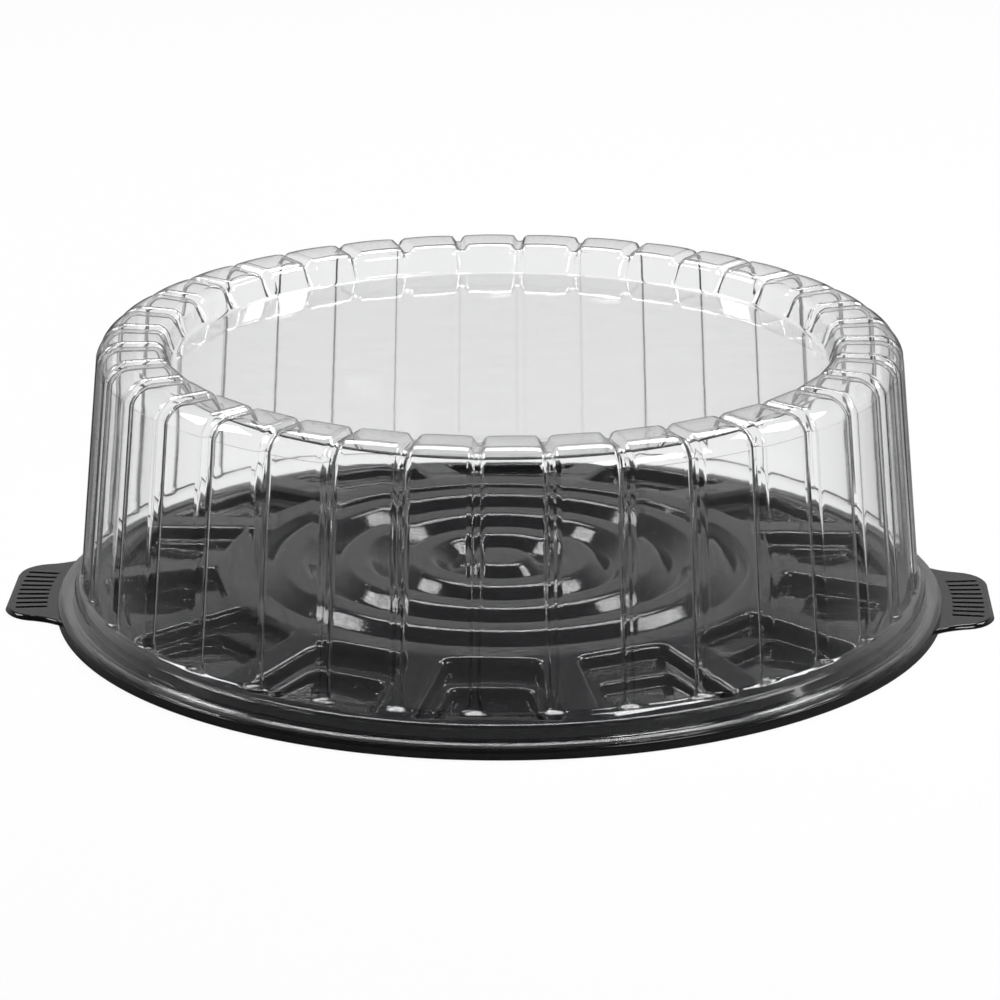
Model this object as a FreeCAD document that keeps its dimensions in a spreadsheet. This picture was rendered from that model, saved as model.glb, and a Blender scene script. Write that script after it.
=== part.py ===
import FreeCAD, Part
import math
import os
import re

import Sketcher

# A round cake container of two thermoformed pieces: a black serving tray with finger tabs, and a
# clear fluted dome that lifts straight off it. Millimetres, +Z up. The origin is at the middle of
# the tray's resting plane, the front of the container faces -Y and the tabs point along X.

SIZES = (
    # The tray's sheet and its rim, which carries the dome's flange on a flat-topped bead.
    ("tray_wall", 0.7),
    ("rim_radius", 155.0),
    ("rim_width", 8.0),
    ("skirt_lean", 0.8),
    ("seat_height", 3.4),
    ("seat_width", 2.0),
    ("bead_slope_run", 1.0),
    ("trough_height", 2.2),
    ("plug_run", 4.4),
    # The raised deck: a sloping shoulder cut by pockets, a flat ring, and ridges round the middle.
    ("shoulder_width", 46.6),
    ("shoulder_height", 7.0),
    ("deck_height", 14.0),
    ("deck_margin", 10.0),
    ("ridge_height", 16.0),
    ("ridge_pitch", 22.5),
    ("ridge_first_radius", 27.1),
    ("ridge_top_width", 10.0),
    ("ridge_slope_run", 4.2),
    ("boss_radius", 10.0),
    # The stepped pockets between the spokes of the shoulder.
    ("pocket_count", 14),
    ("spoke_width", 13.6),
    ("pocket_inner_margin", 5.0),
    ("pocket_outer_margin", 6.1),
    ("pocket_depth", 5.0),
    ("pocket_corner", 2.5),
    ("pocket_draft", 10.0),
    ("terrace_width", 8.8),
    ("well_ledge", 3.0),
    ("well_depth", 4.0),
    ("well_slope", 3.0),
    ("cut_lead", 0.8),
    # The finger tabs outside the rim, with grip ridges on top.
    ("tab_count", 2),
    ("tab_length", 17.5),
    ("tab_root_width", 60.0),
    ("tab_tip_width", 46.0),
    ("tab_corner", 9.0),
    ("tab_height", 1.9),
    ("grip_count", 5),
    ("grip_pitch", 7.0),
    ("grip_width", 1.6),
    ("grip_height", 0.5),
    ("grip_length", 9.0),
    ("grip_margin", 4.0),
    # The dome's sheet, its foot, its drafted wall and its raised crest round a sunk top.
    ("lid_wall", 0.5),
    ("lid_turn", -1.6),
    ("flange_overhang", 0.2),
    ("band_clearance", 2.0),
    ("band_height", 12.2),
    ("band_draft_inset", 0.8),
    ("ledge_run", 0.9),
    ("ledge_lap", 0.5),
    ("panel_inset", 2.1),
    ("panel_foot_height", 13.0),
    ("wall_inset", 7.8),
    ("crest_height", 97.5),
    ("crest_drop", 8.5),
    ("crest_bevel", 2.1),
    ("crest_run", 8.6),
    ("crest_width", 22.5),
    ("sill_inset", 2.6),
    ("top_depth", 9.9),
    # The flutes: V grooves along the corners between the dome's flat panels.
    ("flute_count", 36),
    ("flute_width", 4.4),
    ("flute_depth", 2.6),
    ("flute_lead", 1.0),
)

FULL_TURN = 360
FRONT_TURN = -90
SIDE_TURN = 90
UPRIGHT = FreeCAD.Vector(0, 0, 1)
START, END, CENTRE = 1, 2, 3
AXIS_ACROSS, AXIS_UP = -1, -2
ORIGIN = (AXIS_ACROSS, START)

doc = FreeCAD.newDocument("cake_container")
sheet = doc.addObject("Spreadsheet::Sheet", "Sizes")
for row, (alias, number) in enumerate(SIZES, start=1):
    sheet.set("A%d" % row, alias)
    sheet.set("B%d" % row, str(number))
    sheet.setAlias("B%d" % row, alias)
doc.recompute()


# Expressions on the size sheet


def size(expression):
    """Gives the present value of an expression on the size sheet."""
    return float(sheet.evalExpression(expression))


def bind(target, prop, expression):
    """Ties a property of an object to the size sheet; a size's name always has an underscore."""
    target.setExpression(prop, re.sub(r"\b[a-z]+(_[a-z]+)+\b", r"Sizes.\g<0>", expression))


def vector(across, up):
    """Gives the present place of a pair of expressions in a sketch."""
    return FreeCAD.Vector(size(across), size(up), 0)


# Bodies, sketches and features


def origin_part(body, role):
    """Finds one of a body's own origin planes or axes."""
    return next(part for part in body.Origin.OriginFeatures if part.Role == role)


def add_body(label, turn):
    """Starts a body under the name that its file gets, turned about the upright axis."""
    body = doc.addObject("PartDesign::Body", label)
    body.Label = label
    body.Placement = FreeCAD.Placement(FreeCAD.Vector(), FreeCAD.Rotation(UPRIGHT, turn))
    return body


def add_sketch(body, name, plane):
    """Starts a sketch on one of the body's origin planes."""
    sketch = body.newObject("Sketcher::SketchObject", name)
    sketch.AttachmentSupport = [(origin_part(body, plane), "")]
    sketch.MapMode = "FlatFace"
    return sketch


def add_level_sketch(body, name, height, tilt=None):
    """Starts a sketch on a level plane at a height, tilted down along X where asked."""
    sketch = add_sketch(body, name, "XY_Plane")
    if tilt is not None:
        slant = FreeCAD.Rotation(FreeCAD.Vector(0, 1, 0), size(tilt))
        sketch.AttachmentOffset = FreeCAD.Placement(FreeCAD.Vector(), slant)
        bind(sketch, "AttachmentOffset.Rotation.Angle", tilt)
    bind(sketch, "AttachmentOffset.Base.z", height)
    return sketch


def add_turned_sketch(body, name, plane, axis, angle):
    """Starts a sketch on an origin plane that is turned about one of its own axes."""
    sketch = add_sketch(body, name, plane)
    turn = FreeCAD.Rotation(axis, size(angle))
    sketch.AttachmentOffset = FreeCAD.Placement(FreeCAD.Vector(), turn)
    bind(sketch, "AttachmentOffset.Rotation.Angle", angle)
    return sketch


def add_side_sketch(body, name, height, shift):
    """Starts a level sketch whose X axis points along the body's Y axis, moved sideways."""
    sketch = add_sketch(body, name, "XY_Plane")
    turn = FreeCAD.Rotation(UPRIGHT, SIDE_TURN)
    sketch.AttachmentOffset = FreeCAD.Placement(FreeCAD.Vector(), turn)
    bind(sketch, "AttachmentOffset.Base.x", shift)
    bind(sketch, "AttachmentOffset.Base.z", height)
    return sketch


def revolve(body, sketch, name):
    """Turns a section sketch once round the body's upright axis."""
    turned = body.newObject("PartDesign::Revolution", name)
    turned.Profile = sketch
    turned.ReferenceAxis = (sketch, ["V_Axis"])
    turned.Angle = FULL_TURN
    return turned


def extrude(body, kind, name, sketch, length, downwards=False, draft=None):
    """Pads or cuts a sketch over a length, narrowing by a draft angle where asked."""
    feature = body.newObject("PartDesign::" + kind, name)
    feature.Profile = sketch
    feature.Reversed = downwards == (kind == "Pad")
    bind(feature, "Length", length)
    if draft is not None:
        bind(feature, "TaperAngle", "-" + draft)
    return feature


def sweep(body, kind, name, profile, path):
    """Adds or cuts a profile along a path sketch."""
    pipe = body.newObject("PartDesign::" + kind, name)
    pipe.Profile = profile
    pipe.Spine = (path, [])
    pipe.Transition = "Right corner"
    return pipe


def repeat_round(body, features, name, count):
    """Repeats features round the body's upright axis."""
    pattern = body.newObject("PartDesign::PolarPattern", name)
    pattern.Originals = features
    pattern.Axis = (origin_part(body, "Z_Axis"), [""])
    pattern.Angle = FULL_TURN
    bind(pattern, "Occurrences", count)
    body.Tip = pattern
    return pattern


# Sketch geometry


def constrain(sketch, kind, *references):
    """Adds a constraint to a sketch and gives its index."""
    return sketch.addConstraint(Sketcher.Constraint(kind, *references))


def dimension(sketch, kind, references, expression):
    """Adds a constraint whose size is tied to the sheet."""
    index = constrain(sketch, kind, *references, size(expression))
    name = "dimension_%d" % index
    sketch.renameConstraint(index, name)
    bind(sketch, "Constraints." + name, expression)


def pin(sketch, point, across, up):
    """Places a sketch point at two expressions; zero puts it on the sketch's own axis."""
    for expression, kind, axis in ((across, "DistanceX", AXIS_UP), (up, "DistanceY", AXIS_ACROSS)):
        if expression == "0":
            constrain(sketch, "PointOnObject", *point, axis)
        else:
            dimension(sketch, kind, (*ORIGIN, *point), expression)


def add_line(sketch, start, end):
    """Draws a straight line."""
    return sketch.addGeometry(Part.LineSegment(start, end), False)


def add_mark(sketch, place):
    """Adds a construction point."""
    return sketch.addGeometry(Part.Point(place), True), START


def bend(before, corner, after, radius):
    """Gives the start, middle and end of the arc that rounds a corner."""
    back = (before - corner).normalize()
    ahead = (after - corner).normalize()
    half_angle = back.getAngle(ahead) / 2
    reach = radius / math.tan(half_angle)
    depth = radius / math.sin(half_angle) - radius
    return corner + back * reach, corner + (back + ahead).normalize() * depth, corner + ahead * reach


def join(sketch, before, after, arc_points, radius):
    """Rounds the corner between two lines with an arc, which a sketch keeps anticlockwise."""
    first, middle, last = arc_points
    turns_left = (middle - first).cross(last - middle).z > 0
    arc = sketch.addGeometry(Part.Arc(*(arc_points if turns_left else arc_points[::-1])), False)
    constrain(sketch, "Tangent", before, END, arc, START if turns_left else END)
    constrain(sketch, "Tangent", arc, END if turns_left else START, after, START)
    dimension(sketch, "Radius", (arc,), radius)


def draw_run(sketch, places, rounds, closed=False):
    """Draws lines from place to place, with an arc at each corner that has a radius."""
    count = len(places)
    bends = {}
    for index, radius in rounds.items():
        bends[index] = bend(places[index - 1], places[index], places[(index + 1) % count], size(radius))
    lines = []
    for index in range(count if closed else count - 1):
        following = (index + 1) % count
        start = bends[index][-1] if index in bends else places[index]
        end = bends[following][0] if following in bends else places[following]
        lines.append(add_line(sketch, start, end))
    for index in range(0 if closed else 1, len(lines)):
        before, after = lines[index - 1], lines[index]
        if index in bends:
            join(sketch, before, after, bends[index], rounds[index])
        else:
            constrain(sketch, "Coincident", before, END, after, START)
    return lines


def pin_corner(sketch, lines, place, across, up):
    """Places the point where two lines would meet if their corner weren't rounded."""
    mark = add_mark(sketch, place)
    pin(sketch, mark, across, up)
    for line in lines:
        constrain(sketch, "PointOnObject", *mark, line)
    return mark


def add_chain(sketch, corners):
    """Draws a pinned run of lines through expression pairs."""
    lines = draw_run(sketch, [vector(*corner) for corner in corners], {})
    for line, corner in zip(lines, corners):
        pin(sketch, (line, START), *corner)
    pin(sketch, (lines[-1], END), *corners[-1])
    return lines


def offset_corner(before, here, after, wall):
    """Moves the corner of a polyline one wall to the right of its direction."""
    arriving = (here - before).normalize() if before else (after - here).normalize()
    leaving = (after - here).normalize() if after else arriving
    sides = [FreeCAD.Vector(heading.y, -heading.x, 0) for heading in (arriving, leaving)]
    return here + (sides[0] + sides[1]) * (wall / (1 + sides[0].dot(sides[1])))


def add_sheet_section(sketch, corners, wall, first_end, last_end):
    """Draws the section of a formed sheet, an outer skin and an inner one, with level or upright ends."""
    outer = add_chain(sketch, corners)
    places = [vector(*corner) for corner in corners]
    neighbours = zip([None] + places[:-1], places, places[1:] + [None])
    inner_places = [offset_corner(*three, size(wall)) for three in neighbours]
    inner = draw_run(sketch, inner_places, {})
    for outer_line, inner_line in zip(outer, inner):
        constrain(sketch, "Parallel", outer_line, inner_line)
        dimension(sketch, "Distance", (inner_line, START, outer_line), wall)
    for end, place, kind in ((START, 0, first_end), (END, -1, last_end)):
        edge = add_line(sketch, places[place], inner_places[place])
        constrain(sketch, "Coincident", edge, START, outer[place], end)
        constrain(sketch, "Coincident", edge, END, inner[place], end)
        constrain(sketch, kind, edge)


def add_polygon(sketch, apothem, sides):
    """Draws a regular polygon round the sketch's origin, from the middle of its first side."""
    corners = [(apothem, "0")]
    for corner in range(int(size(sides))):
        angle = "(%d * 180 / %s)" % (2 * corner + 1, sides)
        reach = "(%s) / cos(180 / %s)" % (apothem, sides)
        corners.append(("%s * cos%s" % (reach, angle), "%s * sin%s" % (reach, angle)))
    lines = add_chain(sketch, corners)
    last = add_line(sketch, vector(*corners[-1]), vector(*corners[0]))
    constrain(sketch, "Coincident", last, START, lines[-1], END)
    constrain(sketch, "Coincident", last, END, lines[0], START)


def add_cut_trapezium(sketch, near, near_half, far, far_half, cut):
    """Draws a trapezium that straddles the sketch's X axis, with its corners cut off straight."""
    ends = ((near, near_half, -1), (far, far_half, -1), (far, far_half, 1), (near, near_half, 1))
    places = [FreeCAD.Vector(size(along), side * size(half), 0) for along, half, side in ends]
    outline = []
    for index, place in enumerate(places):
        for other in (places[index - 1], places[(index + 1) % len(places)]):
            outline.append(place + (other - place).normalize() * size(cut))
    lines = draw_run(sketch, outline, {}, closed=True)
    marks = []
    for index, place in enumerate(places):
        mark = add_mark(sketch, place)
        corner = lines[2 * index]
        for side, end in ((lines[2 * index - 1], START), (lines[2 * index + 1], END)):
            constrain(sketch, "PointOnObject", *mark, side)
            dimension(sketch, "Distance", (*mark, corner, end), cut)
        marks.append(mark)
    pin(sketch, marks[2], far, far_half)
    pin(sketch, marks[3], near, near_half)
    constrain(sketch, "Symmetric", *marks[0], *marks[3], AXIS_ACROSS)
    constrain(sketch, "Symmetric", *marks[1], *marks[2], AXIS_ACROSS)


def add_wedge(sketch, tip, base, base_half):
    """Draws a triangle along the sketch's X axis, from its tip to its base."""
    places = [vector(tip, "0"), vector(base, "-(%s)" % base_half), vector(base, base_half)]
    lines = draw_run(sketch, places, {}, closed=True)
    pin(sketch, (lines[0], START), tip, "0")
    pin(sketch, (lines[2], START), base, base_half)
    constrain(sketch, "Symmetric", lines[1], START, lines[2], START, AXIS_ACROSS)


# The tray

SEAT_EDGE = "(rim_radius - skirt_lean)"
PLUG = "(rim_radius - rim_width)"
SHOULDER = "(%s - plug_run)" % PLUG
DECK = "(%s - shoulder_width)" % SHOULDER
RIDGE_HALF = "(ridge_top_width / 2 + ridge_slope_run)"
RIDGE_ROOM = "(%s - deck_margin - %s - ridge_first_radius)" % (DECK, RIDGE_HALF)
RIDGE_COUNT = "(floor(%s / ridge_pitch) + 1)" % RIDGE_ROOM
POCKET_INNER = "(%s + pocket_inner_margin)" % DECK
POCKET_OUTER = "(%s - pocket_outer_margin)" % SHOULDER
WELL_INNER = "(%s + terrace_width)" % POCKET_INNER
WELL_OUTER = "(%s - well_ledge)" % POCKET_OUTER
SLOPE = "atan((deck_height - shoulder_height) / shoulder_width)"
SLOPE_TOP = "(deck_height + %s * tan(%s))" % (DECK, SLOPE)
HALF_PITCH = "(180 / pocket_count)"


def tray_corners():
    """Lists the corners of the tray's upper skin along a spoke, from its middle to its rim."""
    corners = [("0", "ridge_height"), ("boss_radius", "ridge_height")]
    corners.append(("boss_radius + ridge_slope_run", "deck_height"))
    for ridge in range(int(size(RIDGE_COUNT))):
        middle = "ridge_first_radius + %d * ridge_pitch" % ridge
        inner = middle + " - ridge_top_width / 2"
        outer = middle + " + ridge_top_width / 2"
        corners.append((inner + " - ridge_slope_run", "deck_height"))
        corners.append((inner, "ridge_height"))
        corners.append((outer, "ridge_height"))
        corners.append((outer + " + ridge_slope_run", "deck_height"))
    corners.append((DECK, "deck_height"))
    corners.append((SHOULDER, "shoulder_height"))
    corners.append((PLUG, "trough_height"))
    corners.append((SEAT_EDGE + " - seat_width - bead_slope_run", "trough_height"))
    corners.append((SEAT_EDGE + " - seat_width", "seat_height"))
    corners.append((SEAT_EDGE, "seat_height"))
    corners.append(("rim_radius", "0"))
    return corners


def form_tray_sheet(body):
    """Turns the tray's sheet, which stands on the level edge of its skirt."""
    sketch = add_sketch(body, "tray_section", "XZ_Plane")
    add_sheet_section(sketch, tray_corners(), "tray_wall", "Vertical", "Horizontal")
    revolve(body, sketch, "tray_turn")


def draw_pocket(body, name, height, tilt, inner, outer, inset):
    """Draws the room between two spokes, less an inset, on a plane that tilts outwards."""
    sketch = add_level_sketch(body, name, height, tilt)
    spoke = "(spoke_width / 2 + %s) / cos(%s)" % (inset, HALF_PITCH)
    halves = ["(%s) * tan(%s) - %s" % (radius, HALF_PITCH, spoke) for radius in (inner, outer)]
    along = ["(%s) / cos(%s)" % (radius, tilt) for radius in (inner, outer)]
    add_cut_trapezium(sketch, along[0], halves[0], along[1], halves[1], "pocket_corner")
    return sketch


def form_pockets(body):
    """Forms the stepped pockets: each is a cup hung under the sheet, then hollowed from above."""
    grow = "(tray_wall - (cut_lead + tray_wall / 2) * tan(pocket_draft))"
    cup = draw_pocket(
        body, "cup_outline", SLOPE_TOP + " - tray_wall / 2", SLOPE,
        POCKET_INNER + " - " + grow, POCKET_OUTER + " + " + grow, "0 - " + grow,
    )
    mouth = draw_pocket(
        body, "pocket_outline", SLOPE_TOP + " + cut_lead", SLOPE,
        POCKET_INNER, POCKET_OUTER, "0",
    )
    terrace = "%s - %s * tan(%s) - pocket_depth / cos(%s)" % (SLOPE_TOP, WELL_INNER, SLOPE, SLOPE)
    well_top = "%s + cut_lead + %s * tan(well_slope)" % (terrace, WELL_INNER)
    bowl = draw_pocket(
        body, "bowl_outline", well_top, "well_slope",
        WELL_INNER + " - tray_wall", WELL_OUTER + " + tray_wall", "well_ledge - tray_wall",
    )
    well = draw_pocket(
        body, "well_outline", well_top, "well_slope",
        WELL_INNER, WELL_OUTER, "well_ledge",
    )
    steps = []
    for kind, name, sketch, length in (
        ("Pad", "cup", cup, "pocket_depth + tray_wall / 2"),
        ("Pad", "bowl", bowl, "well_depth + cut_lead + tray_wall"),
        ("Pocket", "pocket", mouth, "pocket_depth + cut_lead"),
        ("Pocket", "well", well, "well_depth + cut_lead"),
    ):
        steps.append(extrude(body, kind, name, sketch, length, True, "pocket_draft"))
    repeat_round(body, steps, "pockets", "pocket_count")


def draw_tab(body, name, root_radius, inset):
    """Draws a finger tab, less an inset, from an arc round the tray's axis to a rounded tip."""
    sketch = add_side_sketch(body, name, "0", "0")
    root_half = "tab_root_width / 2 - (%s)" % inset
    tip = ("rim_radius + tab_length - (%s)" % inset, "tab_tip_width / 2 - (%s)" % inset)
    radius, half, tip_place = size(root_radius), size(root_half), vector(*tip)
    roots = [FreeCAD.Vector(math.sqrt(radius ** 2 - half ** 2), side * half, 0) for side in (-1, 1)]
    tips = [FreeCAD.Vector(tip_place.x, side * tip_place.y, 0) for side in (-1, 1)]
    corner = "tab_corner - (%s)" % inset
    places = [roots[0], tips[0], tips[1], roots[1]]
    below, front, above = draw_run(sketch, places, {1: corner, 2: corner})
    arc = sketch.addGeometry(Part.Arc(roots[0], FreeCAD.Vector(radius, 0, 0), roots[1]), False)
    mark = pin_corner(sketch, (front, above), tips[1], *tip)
    mirrored = add_mark(sketch, tips[0])
    constrain(sketch, "Symmetric", *mirrored, *mark, AXIS_ACROSS)
    for line in (below, front):
        constrain(sketch, "PointOnObject", *mirrored, line)
    constrain(sketch, "Coincident", arc, CENTRE, *ORIGIN)
    dimension(sketch, "Radius", (arc,), root_radius)
    constrain(sketch, "Coincident", below, START, arc, START)
    constrain(sketch, "Coincident", above, END, arc, END)
    constrain(sketch, "Symmetric", arc, START, arc, END, AXIS_ACROSS)
    dimension(sketch, "DistanceY", (*ORIGIN, above, END), root_half)
    return sketch


def draw_grips(body):
    """Draws the grip ridges of a tab side by side."""
    row_width = "((grip_count - 1) * grip_pitch + grip_width)"
    sketch = add_side_sketch(body, "grip_outline", "tab_height - tray_wall / 2", row_width + " / 2")
    inner = "rim_radius + grip_margin"
    for grip in range(int(size("grip_count"))):
        low = "%d * grip_pitch" % grip if grip else "0"
        high = low + " + grip_width"
        corners = [(inner, low), (inner + " + grip_length", low), (inner + " + grip_length", high)]
        corners.append((inner, high))
        lines = add_chain(sketch, corners)
        last = add_line(sketch, vector(*corners[-1]), vector(*corners[0]))
        constrain(sketch, "Coincident", last, START, lines[-1], END)
        constrain(sketch, "Coincident", last, END, lines[0], START)
    return sketch


def form_tabs(body):
    """Forms the finger tabs, hollow underneath like the rest of the sheet."""
    outline = draw_tab(body, "tab_outline", SEAT_EDGE, "0")
    under = draw_tab(body, "tab_under_outline", "rim_radius + tray_wall / 2", "tray_wall")
    steps = [
        extrude(body, "Pad", "tab", outline, "tab_height"),
        extrude(body, "Pocket", "tab_under", under, "tab_height - tray_wall"),
        extrude(body, "Pad", "grips", draw_grips(body), "grip_height + tray_wall / 2"),
    ]
    repeat_round(body, steps, "tabs", "tab_count")


def build_tray():
    """Builds the tray, whose first pocket lies on the body's X axis and faces the front."""
    body = add_body("base_tray", FRONT_TURN)
    form_tray_sheet(body)
    form_pockets(body)
    form_tabs(body)
    return body


# The dome

FLANGE_TOP = "seat_height + lid_wall"
BAND_FOOT = "(%s + band_clearance)" % PLUG
BAND_TOP = "(%s - band_draft_inset)" % BAND_FOOT
PANEL_FOOT = "(%s - panel_inset)" % BAND_TOP
CREST = "(%s - wall_inset)" % PANEL_FOOT
SILL = "(%s - crest_width)" % CREST
TOP_EDGE = "(%s - sill_inset)" % SILL
TOP_HEIGHT = "(crest_height - top_depth)"
WALL_LEAN = "(wall_inset / (crest_height - panel_foot_height))"
SILL_LEAN = "(sill_inset / top_depth)"
HALF_PANEL = "180 / flute_count"


def foot_corners():
    """Lists the corners of the dome's round foot, from under its panels to its flange."""
    return [
        (PANEL_FOOT + " + ledge_lap / 2", "panel_foot_height"),
        (BAND_TOP + " - ledge_run", "panel_foot_height"),
        (BAND_TOP, "band_height"),
        (BAND_FOOT, FLANGE_TOP),
        (SEAT_EDGE + " + flange_overhang", FLANGE_TOP),
    ]


def panel_corners(sink):
    """Lists the corners of a panel's outer skin, from its foot over the crest to the sunk top."""
    return [
        ("%s + (%s) * %s" % (PANEL_FOOT, sink, WALL_LEAN), "panel_foot_height - (%s)" % sink),
        ("%s + crest_drop * %s" % (CREST, WALL_LEAN), "crest_height - crest_drop"),
        (CREST + " - crest_bevel", "crest_height - crest_bevel"),
        (CREST + " - crest_run", "crest_height"),
        (SILL, "crest_height"),
        ("%s - (%s) * %s" % (TOP_EDGE, sink, SILL_LEAN), "%s - (%s)" % (TOP_HEIGHT, sink)),
    ]


def form_foot(body):
    """Turns the dome's round foot: the ledge under the panels, the band and the flange."""
    sketch = add_sketch(body, "foot_section", "XZ_Plane")
    add_sheet_section(sketch, foot_corners(), "lid_wall", "Vertical", "Vertical")
    revolve(body, sketch, "foot")


def form_corner(body):
    """Sweeps the skin from the middle of a panel round a corner to the middle of the next one."""
    turn = "0 - " + HALF_PANEL
    section = add_turned_sketch(body, "panel_section", "XZ_Plane", FreeCAD.Vector(0, 1, 0), turn)
    corners = panel_corners("0")
    corners.insert(0, (PANEL_FOOT + " + ledge_lap", "panel_foot_height"))
    corners[-1] = ("%s - lid_wall * %s" % (TOP_EDGE, SILL_LEAN), TOP_HEIGHT + " - lid_wall")
    add_sheet_section(section, corners[::-1], "lid_wall", "Horizontal", "Vertical")
    path = add_sketch(body, "panel_path", "XY_Plane")
    middle = ["%s * %s(%s)" % (PANEL_FOOT, part, HALF_PANEL) for part in ("cos", "sin")]
    reach = "%s / cos(%s)" % (PANEL_FOOT, HALF_PANEL)
    add_chain(path, [(middle[0], "0 - " + middle[1]), (reach, "0"), tuple(middle)])
    return sweep(body, "AdditivePipe", "corner", section, path)


def form_top(body):
    """Closes the dome with its sunk top, which has a side for each panel."""
    sketch = add_turned_sketch(body, "top_outline", "XY_Plane", UPRIGHT, HALF_PANEL)
    bind(sketch, "AttachmentOffset.Base.z", TOP_HEIGHT)
    add_polygon(sketch, TOP_EDGE + " + lid_wall / 2", "flute_count")
    extrude(body, "Pad", "top", sketch, "lid_wall", True)


def draw_flute_path(body, name, rise):
    """Draws the way of a flute up the corner between two panels, over the crest and down again."""
    spread = "(%s) / cos(" + HALF_PANEL + ")"
    corners = [(spread % across, up) for across, up in panel_corners("0 - " + rise)]
    sketch = add_sketch(body, name, "XZ_Plane")
    add_chain(sketch, corners)
    return sketch


def form_flute(body):
    """Forms a flute: a rib inside the corner between two panels, then grooved from outside."""
    edge = "%s / cos(%s)" % (PANEL_FOOT, HALF_PANEL)
    flank = "(flute_width / 2 / flute_depth)"
    flank_wall = "(lid_wall * sqrt(1 + %s ^ 2))" % flank
    rib = add_level_sketch(body, "rib_outline", "panel_foot_height")
    add_wedge(
        rib,
        "%s - flute_depth - %s / %s" % (edge, flank_wall, flank),
        edge + " - lid_wall / 2",
        "flute_width / 2 + %s - lid_wall / 2 * %s" % (flank_wall, flank),
    )
    groove = add_level_sketch(body, "flute_outline", "panel_foot_height + lid_wall")
    add_wedge(
        groove,
        edge + " - flute_depth",
        edge + " + flute_lead",
        "flute_width / 2 + flute_lead * " + flank,
    )
    rib_path = draw_flute_path(body, "rib_path", "0")
    groove_path = draw_flute_path(body, "flute_path", "lid_wall")
    return [
        sweep(body, "AdditivePipe", "rib", rib, rib_path),
        sweep(body, "SubtractivePipe", "flute", groove, groove_path),
    ]


def build_dome():
    """Builds the dome, whose flange rests on the tray's bead."""
    body = add_body("dome_lid", size("lid_turn"))
    bind(body, "Placement.Rotation.Angle", "lid_turn")
    form_foot(body)
    steps = [form_corner(body), *form_flute(body)]
    repeat_round(body, steps, "panels", "flute_count")
    form_top(body)
    return body


pieces = (build_tray(), build_dome())
doc.recompute()
for item in doc.Objects:
    if "Invalid" in item.State or "Error" in item.State:
        raise RuntimeError("%s did not build: %s" % (item.Name, item.State))
os.makedirs("parts", exist_ok=True)
for piece in pieces:
    shape = piece.Shape
    if shape.isNull() or not shape.isValid() or len(shape.Solids) != 1:
        raise RuntimeError("%s is not one sound solid" % piece.Label)
    print(piece.Label, round(shape.Volume), shape.BoundBox, len(shape.Faces))
    shape.exportStep("parts/%s.step" % piece.Label)
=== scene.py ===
"""Looks of a round cake container: a black formed tray under a clear fluted dome.

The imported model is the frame. Every new piece is in metres in that frame and rides on the body of
the node that it dresses. Sizes are written in millimetres, unless noted, and scaled by MM.
"""

import logging
import math
from dataclasses import dataclass
from enum import Enum
from typing import Any, Iterable, Mapping, Optional, Sequence, Union

import bmesh
import bpy
from mathutils import Matrix, Vector


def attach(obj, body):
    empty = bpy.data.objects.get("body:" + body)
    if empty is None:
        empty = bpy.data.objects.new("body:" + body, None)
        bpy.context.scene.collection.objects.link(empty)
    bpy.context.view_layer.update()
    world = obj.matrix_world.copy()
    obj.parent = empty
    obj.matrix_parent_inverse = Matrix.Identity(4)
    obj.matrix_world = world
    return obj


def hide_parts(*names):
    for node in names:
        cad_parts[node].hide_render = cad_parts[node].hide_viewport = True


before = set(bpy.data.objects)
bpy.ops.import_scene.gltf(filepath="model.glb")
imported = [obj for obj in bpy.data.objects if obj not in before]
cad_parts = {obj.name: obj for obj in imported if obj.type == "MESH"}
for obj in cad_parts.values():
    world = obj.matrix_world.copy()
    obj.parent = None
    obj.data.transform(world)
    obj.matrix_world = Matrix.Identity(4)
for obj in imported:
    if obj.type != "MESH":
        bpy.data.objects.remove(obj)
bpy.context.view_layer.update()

MM = 0.001
ORIGIN = (0.0, 0.0, 0.0)
UPRIGHT = (0.0, 0.0, 1.0)
SENSOR_WIDTH = 36.0

# Points closer than these, in millimetres, are merged, or count as lying at one place.
MERGED = 0.01
SAME_PLACE = 0.05

# How the edges of a formed sheet are told apart: by the angle between their faces, in radians, and
# by how far those faces lean, from 0 for level to 1 for upright.
CORNER_ANGLE = 0.8
BRINK_ANGLE = 0.5
STEP_ANGLE = 0.45
WALL_LEAN = 0.3
LEVEL_LEAN = 0.1

# The profile of a bevel that is an arc, and how strongly flats steer the normals beside them.
ARC = 0.5
FLAT_WEIGHT = 80

Colour = tuple[float, float, float, float]
Rounding = tuple[float, int]  # How far it reaches along both sides, and its number of segments.

log = logging.getLogger("cake_container")


class Slot(Enum):
    """The record's material slots."""

    TRAY = "tray_black"
    LID = "lid_clear"


class Body(Enum):
    """The bodies that the pieces ride on."""

    TRAY = "tray"
    LID = "lid"


class Side(Enum):
    """The sides of the tray that carry a finger tab."""

    LEFT = "left"
    RIGHT = "right"


# Shader maths


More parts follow.
